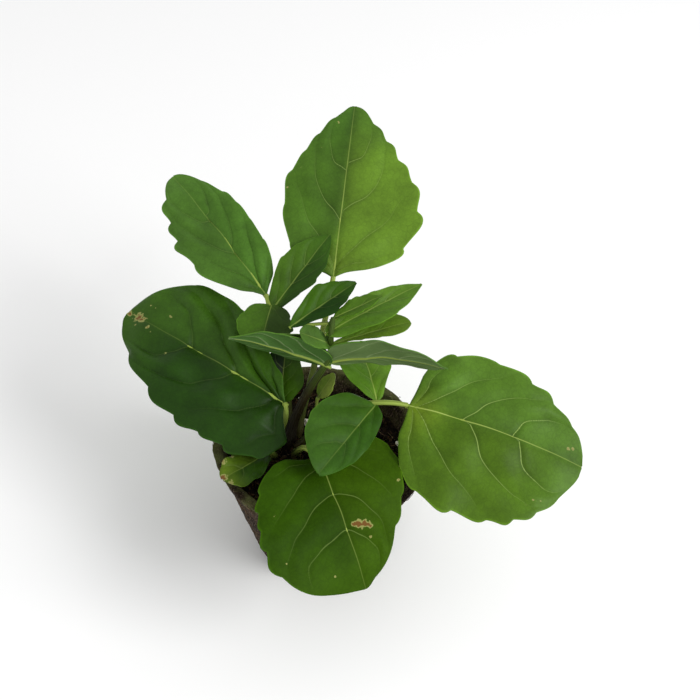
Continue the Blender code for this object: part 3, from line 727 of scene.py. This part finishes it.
def makeRib(node, leaf, seed, shift, material):
    detail = ribDetail
    start = -detail["extra"] * (1.0 if leaf.get("back", 1.0) < 2 else 0.4) / leaf["length"]
    along = np.linspace(start, detail["reach"], detail["points"])
    line, _ = bladePlaces(leaf, along, np.zeros_like(along), True, seed)
    big = leaf["length"] > bladeDetail["bigLength"]
    thick = detail["bigRadius"] if big else detail["smallRadius"]
    radii = detail["endRadius"] + (thick - detail["endRadius"]) * (1 - np.clip(along, 0, 1)) ** 1.6
    angle = np.radians(leaf["arch"]) * along
    up = np.stack((np.zeros_like(along), np.sin(angle), np.cos(angle)), axis=1)
    rotation = Euler([math.radians(leaf[key]) for key in ("rise", "roll", "turn")], "YXZ").to_matrix()
    line = line + np.array(shift) - (up @ np.array(rotation).T) * (radii * detail["sink"])[:, None] * mm
    piece = tubes(node + "_midrib", [line], [radii], mm, 3, 0.01 * mm)
    points = places(piece.data)
    green = detail["bigGreen" if big else "smallGreen"]
    setValues(piece.data, "stalkPlace", np.tile((green, 0.0, 1.0), (len(points), 1)), "FLOAT_VECTOR")
    coat(piece, material)
    smooth(piece, 60)
    handOver(piece, "leaf_stalk")


# Stalks: radius in mm at the foot and at the end, and the centre line in mm over the soil's edge, as in the
# frame. The foot of each is wrapped in a short sheath, and leaf stalks have a groove on their upper side.
stalkDetail = dict(footRise=2, footDrop=0.8, steps=7, sheathGain=0.55, sheathHeight=5.0, groove=0.22)
stalks = {
    "main_stem": ((2.1, 0.9), ((-12.5, 2.5), (-11.5, 6.5, 9), (-9, 9.5, 18), (-6, 11, 27), (-2.7, 11, 36),
                               (-0.5, 11.5, 43), (-1, 13, 51), (-1, 16.5, 57))),
    "right_leaf_stalk": ((1.3, 0.9), ((-8.5, 0), (-3.5, 1, 11), (5, 1.3, 22), (12, 1.7, 28.5),
                                      (19, 2.2, 30.6), (25, 2.8, 30.8), (30.3, 3.4, 30))),
    "left_leaf_stalk": ((1.4, 1.0), ((-17, -1.5), (-16, -2, 11), (-14.3, -0.8, 20), (-15, 0.8, 25.8))),
    "left_inner_stalk": ((1.0, 0.8), ((-17, 5), (-18, 6.6, 10), (-17.2, 7.5, 17.4))),
    "back_leaf_stalk": ((1.4, 1.0), ((-9.5, 8), (-8, 14, 14), (-5.5, 26, 30), (-3.7, 38, 43),
                                     (-3, 46.8, 51.3))),
    "upper_left_leaf_stalk": ((1.3, 0.9), ((-13.5, 10), (-15, 17, 14), (-18.5, 24, 30), (-24.5, 29.5, 43),
                                           (-27.6, 35.6, 47.7))),
    "front_leaf_stalk": ((1.3, 1.0), ((-9, -3.5), (-8, -8, 10.5), (-5, -13.5, 18.5), (-0.5, -18.9, 20.2))),
    "old_leaf_stalk": ((1.0, 0.8), ((-17, -6), (-17.6, -8.5, 7), (-18.3, -11.6, 11.6))),
    "sprout_stalk": ((0.8, 0.6), ((-2, 8), (-3.2, 11, 9), (-3.5, 13.6, 17.4))),
    "top_left_stalk": ((0.7, 0.6), ((-2.6, 16, 54.5), (-9.5, 15.6, 53), (-14.8, 12.8, 54.6))),
}


def roundedPath(points, steps):
    ends = [2 * points[0] - points[1], *points, 2 * points[-1] - points[-2]]
    path = []
    for before, start, end, after in zip(ends, ends[1:], ends[2:], ends[3:]):
        slope = end - before
        bow = 2 * before - 5 * start + 4 * end - after
        twist = 3 * start - before - 3 * end + after
        for step in range(steps):
            t = step / steps
            path.append(start + (slope * t + bow * t ** 2 + twist * t ** 3) / 2)
    path.append(points[-1])
    return path


def makeStalk(node, radii, points, material, slot):
    soilTop = soilHigh.z / mm - soilShape["mound"]
    standing = len(points[0]) == 2
    path = [Vector((*p[:2], soilTop + (p[2] if len(p) == 3 else soilShape["mound"]))) for p in points]
    foot = []
    if standing:
        foot = [path[0].copy()]
        path[0].z += stalkDetail["footRise"]
    path = foot + roundedPath(path, stalkDetail["steps"])

    line = np.array(path) * mm
    piece = tubes(node + "_tube", [line], [np.linspace(*radii, len(path))], mm, 4, 0.01 * mm)
    skin = places(piece.data)
    shift = np.array(centreOf(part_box(node)) - centreOf(boxOf(skin)))
    nearest = np.argmin(np.linalg.norm(skin[:, None] - line[None], axis=2), axis=1)
    outward = skin - line[nearest]
    along = nearest / (len(path) - 1)
    upper = outward[:, 2] / np.maximum(np.linalg.norm(outward, axis=1), 1e-6)
    heading = np.gradient(line, axis=0)
    flatness = 1 - np.abs(heading[nearest, 2]) / np.maximum(np.linalg.norm(heading[nearest], axis=1), 1e-9)
    size = 1 - stalkDetail["groove"] * softStep(0.7, 1.0, upper) * softStep(0.2, 0.6, flatness)
    if standing:
        rise = (skin[:, 2] - line[0, 2]) / mm
        size = size * (1 + stalkDetail["sheathGain"] * np.exp(-(rise / stalkDetail["sheathHeight"]) ** 2))
    around = np.arctan2(outward[:, 1], outward[:, 0]) / (2 * math.pi)
    setPlaces(piece.data, line[nearest] + outward * size[:, None] + shift)
    if standing:
        lowered = places(piece.data)
        lowered[:, 2] -= stalkDetail["footDrop"] * mm * (rise < 0.5)
        setPlaces(piece.data, lowered)
    shade = along if standing else 0.6 + 0.4 * along
    setValues(piece.data, "stalkPlace", np.stack((shade, around, size), axis=1), "FLOAT_VECTOR")
    coat(piece, material)
    smooth(piece, 60)
    handOver(piece, slot, node)
    return piece


# The pot: a turned cone, hollowed, with a lip, then roughened as pressed pulp is.
potShape = dict(foot=22, mouth=40, wall=2.4, floor=3.0, lipHeight=4.0, lipOverhang=1.2, sides=168, cuts=46,
                drainRadius=2.5, drainCircle=11, drainCount=4, lumpSize=13, lumpDepth=0.55, pulpSize=3.2,
                pulpDepth=0.30, fibres=700, fibreWidth=0.26, edgeWidth=0.7)


def makePot(material):
    shape = potShape
    nothingSelected()
    bpy.ops.mesh.primitive_cone_add(vertices=shape["sides"], radius1=shape["foot"] * mm,
                                    radius2=shape["mouth"] * mm, depth=potTop, location=(0, 0, potTop / 2))
    piece = addedPiece("pot_shell")
    applyPlace(piece)
    bpy.ops.object.mode_set(mode="EDIT")
    bpy.ops.mesh.select_all(action="DESELECT")
    bpy.ops.object.mode_set(mode="OBJECT")
    for face in piece.data.polygons:
        face.select = face.normal.z > 0.9
    bpy.ops.object.mode_set(mode="EDIT")
    bpy.ops.mesh.inset(thickness=shape["wall"] * mm)
    bpy.ops.mesh.extrude_region_move(TRANSFORM_OT_translate={"value": (0, 0, shape["floor"] * mm - potTop)})
    taper = (shape["foot"] - shape["wall"]) / (shape["mouth"] - shape["wall"])
    bpy.ops.transform.resize(value=(taper, taper, 1), center_override=(0, 0, 0))

    # the lip: a band cut off round the outside and pushed out
    bpy.ops.mesh.select_all(action="SELECT")
    bpy.ops.mesh.bisect(plane_co=(0, 0, potTop - shape["lipHeight"] * mm), plane_no=(0, 0, 1))
    bpy.ops.object.mode_set(mode="OBJECT")
    for face in piece.data.polygons:
        outer = Vector(face.center.xy).dot(Vector(face.normal.xy)) > 0
        face.select = outer and face.center.z > potTop - shape["lipHeight"] * mm and abs(face.normal.z) < 0.9
    bpy.ops.object.mode_set(mode="EDIT")
    bpy.ops.mesh.extrude_region_shrink_fatten(
        TRANSFORM_OT_shrink_fatten={"value": shape["lipOverhang"] * mm, "use_even_offset": True})
    # rings for the roughening to move
    for cut in range(1, shape["cuts"]):
        bpy.ops.mesh.select_all(action="SELECT")
        bpy.ops.mesh.bisect(plane_co=(0, 0, potTop * cut / shape["cuts"]), plane_no=(0, 0, 1))
    bpy.ops.mesh.select_all(action="SELECT")
    bpy.ops.mesh.remove_doubles(threshold=0.00001)
    bpy.ops.object.mode_set(mode="OBJECT")
    edges = piece.modifiers.new("SoftEdges", "BEVEL")
    edges.width = shape["edgeWidth"] * mm
    edges.segments = 3
    edges.limit_method = "ANGLE"
    edges.angle_limit = math.radians(50)
    applyModifiers(piece)

    points = places(piece.data)
    radius = np.hypot(points[:, 0], points[:, 1])
    push = bumps(points, shape["lumpSize"] * mm, shape["lumpDepth"] * mm, 2)
    push += bumps(points, shape["pulpSize"] * mm, shape["pulpDepth"] * mm, 3)
    outwards = points[:, :2] / np.maximum(radius, 1e-6)[:, None]
    push *= softStep(6 * mm, 14 * mm, radius)
    points[:, :2] += outwards * push[:, None]
    nearTop = softStep(potTop - 5 * mm, potTop, points[:, 2])
    points[:, 2] += nearTop * bumps(points + 0.5, 6 * mm, 0.5 * mm, 3)
    setPlaces(piece.data, points)

    # drain holes, cut last
    for number in range(shape["drainCount"]):
        angle = 2 * math.pi * (number + 0.5) / shape["drainCount"]
        nothingSelected()
        circle = shape["drainCircle"] * mm
        bpy.ops.mesh.primitive_cylinder_add(
            vertices=24, radius=shape["drainRadius"] * mm, depth=5 * shape["floor"] * mm,
            location=(circle * math.cos(angle), circle * math.sin(angle), 0))
        drill = bpy.context.active_object
        hole = piece.modifiers.new("Drain", "BOOLEAN")
        hole.operation = "DIFFERENCE"
        hole.object = drill
        applyModifiers(piece)
        bpy.data.objects.remove(drill)
    coat(piece, material)
    smooth(piece, 50)
    handOver(piece, "peat_fibre", "pot")
    return piece


def strands(name, lines, width, material, slot):
    # thin fibres along lists of points, each a narrow tube that ends in a point
    sizes = [[0.45 if n in (0, len(line) - 1) else 1.0 for n in range(len(line))] for line in lines]
    piece = tubes(name, lines, sizes, width * mm / 2, 0, 0.001 * mm)
    coat(piece, material)
    bpy.ops.object.shade_smooth()
    handOver(piece, slot)
    return piece


def makePotFibres(material):
    # loose ends standing off the wall, thicker than real peat fibre so that they show
    chance = random.Random(11)
    shape = potShape
    lines = []
    for _ in range(shape["fibres"]):
        angle, level = chance.uniform(0, 2 * math.pi), potTop * chance.uniform(0.03, 0.97)
        slant = chance.gauss(0, 0.6)
        span = chance.uniform(3, 10) * mm
        bow = chance.uniform(-0.8, 0.8)
        line = []
        for step in range(6):
            share = step / 5 - 0.5
            z = min(max(level + span * share * math.cos(slant), 0.4 * mm), potTop - 0.2 * mm)
            radius = (shape["foot"] + (shape["mouth"] - shape["foot"]) * z / potTop) * mm
            if z > potTop - shape["lipHeight"] * mm:
                radius += shape["lipOverhang"] * mm
            turn = angle + (span * share * math.sin(slant) + bow * mm * (4 * share * share)) / radius
            stand = (0.18 + 0.22 * abs(share)) * mm
            line.append(((radius + stand) * math.cos(turn), (radius + stand) * math.sin(turn), z))
        lines.append(line)
    return strands("pot_fibres", lines, shape["fibreWidth"], material, "peat_fibre")


# The compost: a round block with a crumbly top, and loose crumbs, bark bits and root hairs on it.
soilShape = dict(mound=1.5, foot=20.5, crumble=0.9, crumbs=520, chips=70, specks=26, hairs=90, hairWidth=0.24,
                 cells=150)


def soilHeight(x, y):
    share = min(1, math.hypot(x, y) / soilHigh.x)
    rough = soilShape["crumble"] * mm * noise.fractal(Vector((x, y, 0)) / (4 * mm), 0.9, 2.1, 4)
    return soilHigh.z - soilShape["mound"] * mm * share * share + rough * (1 - 0.6 * share ** 8)


def makeSoil(material):
    depth = soilHigh.z - soilLow.z
    nothingSelected()
    cuts = soilShape["cells"]
    bpy.ops.mesh.primitive_grid_add(x_subdivisions=cuts, y_subdivisions=cuts, size=2)
    piece = addedPiece("soil_block")
    cells = places(piece.data)
    # the square of cells is rounded to a disc
    x, y = cells[:, 0], cells[:, 1]
    disc = np.stack((x * np.sqrt(1 - y * y / 2), y * np.sqrt(1 - x * x / 2)), axis=1) * soilHigh.x
    tops = np.array([soilHeight(*place) for place in disc])
    setPlaces(piece.data, np.column_stack((disc, tops)))
    bpy.ops.object.mode_set(mode="EDIT")
    bpy.ops.mesh.select_all(action="SELECT")
    bpy.ops.mesh.region_to_loop()
    bpy.ops.mesh.extrude_edges_move(TRANSFORM_OT_translate={"value": (0, 0, -depth / 2)})
    bpy.ops.mesh.extrude_edges_move(TRANSFORM_OT_translate={"value": (0, 0, -depth / 2 + 2 * mm)})
    bpy.ops.mesh.edge_face_add()
    bpy.ops.object.mode_set(mode="OBJECT")
    points = places(piece.data)
    deep = (soilHigh.z - 3 * mm - points[:, 2]) / (depth - 3 * mm)
    narrow = 1 - (1 - soilShape["foot"] * mm / soilHigh.x) * np.clip(deep, 0, 1)
    points[:, :2] *= narrow[:, None]
    setPlaces(piece.data, points)
    faceOutwards(piece)
    coat(piece, material)
    smooth(piece, 70)
    handOver(piece, "peat_soil", "soil")
    return piece


def lump(name, size, subdivisions, roughness, squash, seed):
    nothingSelected()
    bpy.ops.mesh.primitive_ico_sphere_add(subdivisions=subdivisions, radius=size)
    piece = addedPiece(name)
    points = places(piece.data)
    start = Vector((seed, 0, 0))
    push = np.array([noise.fractal(Vector(p) / size * 0.9 + start, 1.0, 2.0, 2) for p in points])
    points *= (1 + roughness * push)[:, None]
    points *= np.array(squash)
    setPlaces(piece.data, points)
    return piece


def scattered(name, models, count, chance, reach, sizes, sink, material, slot):
    # copies of the models, each turned and sized, laid on the compost and joined as one piece
    copies = []
    for _ in range(count):
        model = chance.choice(models)
        copy = model.copy()
        copy.data = model.data.copy()
        bpy.context.scene.collection.objects.link(copy)
        angle, far = chance.uniform(0, 2 * math.pi), reach * math.sqrt(chance.random())
        x, y = far * math.cos(angle), far * math.sin(angle)
        size = chance.uniform(*sizes)
        copy.scale = (size, size, size)
        copy.rotation_euler = [chance.uniform(0, 2 * math.pi) for _ in range(3)]
        copy.location = (x, y, soilHeight(x, y) + size * model.dimensions.z * sink)
        copies.append(copy)
    nothingSelected()
    for copy in copies:
        copy.select_set(True)
    bpy.context.view_layer.objects.active = copies[0]
    bpy.ops.object.transform_apply(location=True, rotation=True, scale=True)
    bpy.ops.object.join()
    piece = addedPiece(name)
    for model in models:
        bpy.data.objects.remove(model)
    coat(piece, material)
    handOver(piece, slot)
    return piece


def makeCrumbs(soilMaterial, chipMaterial, perliteMaterial):
    reach = soilHigh.x - 1.2 * mm
    chance = random.Random(5)
    models = [lump(f"crumb{n}", mm, 2, 0.55, (1, 0.85, 0.7), 3.7 * n) for n in range(4)]
    scattered("soil_crumbs", models, soilShape["crumbs"], chance, reach, (0.5, 1.5), 0.1, soilMaterial,
              "peat_soil")
    models = [lump(f"chip{n}", mm, 2, 0.35, (2.2, 0.8, 0.35), 8.1 * n) for n in range(3)]
    scattered("bark_chips", models, soilShape["chips"], chance, reach, (0.5, 1.3), 0.15, chipMaterial,
              "peat_soil")
    models = [lump(f"speck{n}", mm, 2, 0.5, (1, 0.9, 0.8), 5.3 * n) for n in range(2)]
    scattered("perlite_specks", models, soilShape["specks"], chance, reach, (0.3, 0.65), 0.2, perliteMaterial,
              "perlite_grain")


def makeRootHairs(material):
    chance = random.Random(23)
    reach = soilHigh.x - 3 * mm
    lines = []
    for _ in range(soilShape["hairs"]):
        angle, far = chance.uniform(0, 2 * math.pi), reach * math.sqrt(chance.random())
        x, y, heading = far * math.cos(angle), far * math.sin(angle), chance.uniform(0, 2 * math.pi)
        line = []
        for _ in range(7):
            x, y = x + 0.9 * mm * math.cos(heading), y + 0.9 * mm * math.sin(heading)
            heading += chance.uniform(-0.5, 0.5)
            if math.hypot(x, y) < reach:
                line.append((x, y, soilHeight(x, y) + chance.uniform(0.3, 0.9) * mm))
        if len(line) > 3:
            lines.append(line)
    return strands("soil_fibres", lines, soilShape["hairWidth"], material, "peat_soil")


def makePerlite(material):
    nodes = sorted(name for name in frame["nodes"] if name.startswith("perlite_"))
    for number, node in enumerate(nodes):
        low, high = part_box(node)
        size = (high.x - low.x) / 2
        piece = lump(node + "_grain", size * 1.05, 4, 0.42, (1, 0.9, 0.8), 2.9 * number)
        piece.location = centreOf((low, high)) - Vector((0, 0, 0.3 * mm))
        piece.rotation_euler = (0, 0, number)
        applyPlace(piece)
        coat(piece, material)
        smooth(piece, 35)
        handOver(piece, "perlite_grain", node)


# Camera, light and floor.
studio = dict(cameraPlace=(0, -0.23618, 0.33170), lens=47.88, sensor=36, pitch=46.765, turn=-1.498, twist=8.0,
              floorSize=6.0, world=0.80, keyEnergy=17.0, keySize=0.75, keyPlace=(1.15, -0.5, 1.05),
              keyTarget=(0, 0, 0.06))


def makeStudio():
    scene = bpy.context.scene
    camera = bpy.data.objects.new("Camera", bpy.data.cameras.new("Camera"))
    scene.collection.objects.link(camera)
    camera.data.lens = studio["lens"]
    camera.data.sensor_width = studio["sensor"]
    camera.data.clip_start = 0.01
    rotation = Euler((0, 0, math.radians(studio["turn"]))).to_matrix()
    rotation @= Euler((math.radians(studio["pitch"]), 0, 0)).to_matrix()
    rotation @= Euler((0, 0, math.radians(studio["twist"]))).to_matrix()
    camera.location = studio["cameraPlace"]
    camera.rotation_euler = rotation.to_euler()
    scene.camera = camera
    scene.view_settings.view_transform = "Standard"

    world = bpy.data.worlds.new("SoftStudio")
    world.use_nodes = True
    sky = world.node_tree.nodes["Background"]
    sky.inputs["Color"].default_value = (1, 1, 1, 1)
    sky.inputs["Strength"].default_value = studio["world"]
    scene.world = world

    key = bpy.data.objects.new("KeyLight", bpy.data.lights.new("KeyLight", "AREA"))
    scene.collection.objects.link(key)
    key.data.energy = studio["keyEnergy"]
    key.data.size = studio["keySize"]
    key.location = studio["keyPlace"]
    key.rotation_euler = (Vector(studio["keyTarget"]) - key.location).to_track_quat("-Z", "Y").to_euler()

    nothingSelected()
    bpy.ops.mesh.primitive_plane_add(size=studio["floorSize"])
    floor = addedPiece("floor")
    paper, _, shader = newMaterial("whitePaper", Roughness=0.9, Specular_IOR_Level=0.1)
    shader.inputs["Base Color"].default_value = linearColour("#f6f6f6")
    coat(floor, paper)


def main():
    makeStudio()
    print("studio ready")
    potMaterial = makePotMaterial("pressedPeatFibre", potFinish, potTop, 0.0)
    makePot(potMaterial)
    fibre = makeBitMaterial("woodFibre", *bitFinish["fibre"])
    makePotFibres(fibre)
    print("pot ready")
    soilMaterial = makeSoilMaterial("peatCompost", soilFinish)
    perliteMaterial = makePerliteMaterial("expandedPerlite", perliteFinish)
    makeSoil(soilMaterial)
    makeCrumbs(soilMaterial, makeBitMaterial("barkChip", *bitFinish["bark"]), perliteMaterial)
    makeRootHairs(fibre)
    makePerlite(perliteMaterial)
    print("compost ready")
    stalkMaterial = makeStalkMaterial("valerianLeafStalk", stalkFinishes["valerianLeafStalk"])
    stemMaterial = makeStalkMaterial("valerianStem", stalkFinishes["valerianStem"])
    for node, (radii, points) in stalks.items():
        material, slot = (stemMaterial, "stem") if node == "main_stem" else (stalkMaterial, "leaf_stalk")
        makeStalk(node, radii, points, material, slot)
    print("stalks ready")
    underMaterial = makeUnderMaterial("valerianLeafUnderside", underFinish)
    slots = {part["node"]: part["material_slot"] for part in frame["record"]["subparts"]}
    for seed, (node, leaf) in enumerate(leaves.items(), 1):
        piece = makeLeaf(node, leaf, seed, underMaterial, stalkMaterial)
        handOver(piece, slots[node], node)
    print("leaves ready")


main()
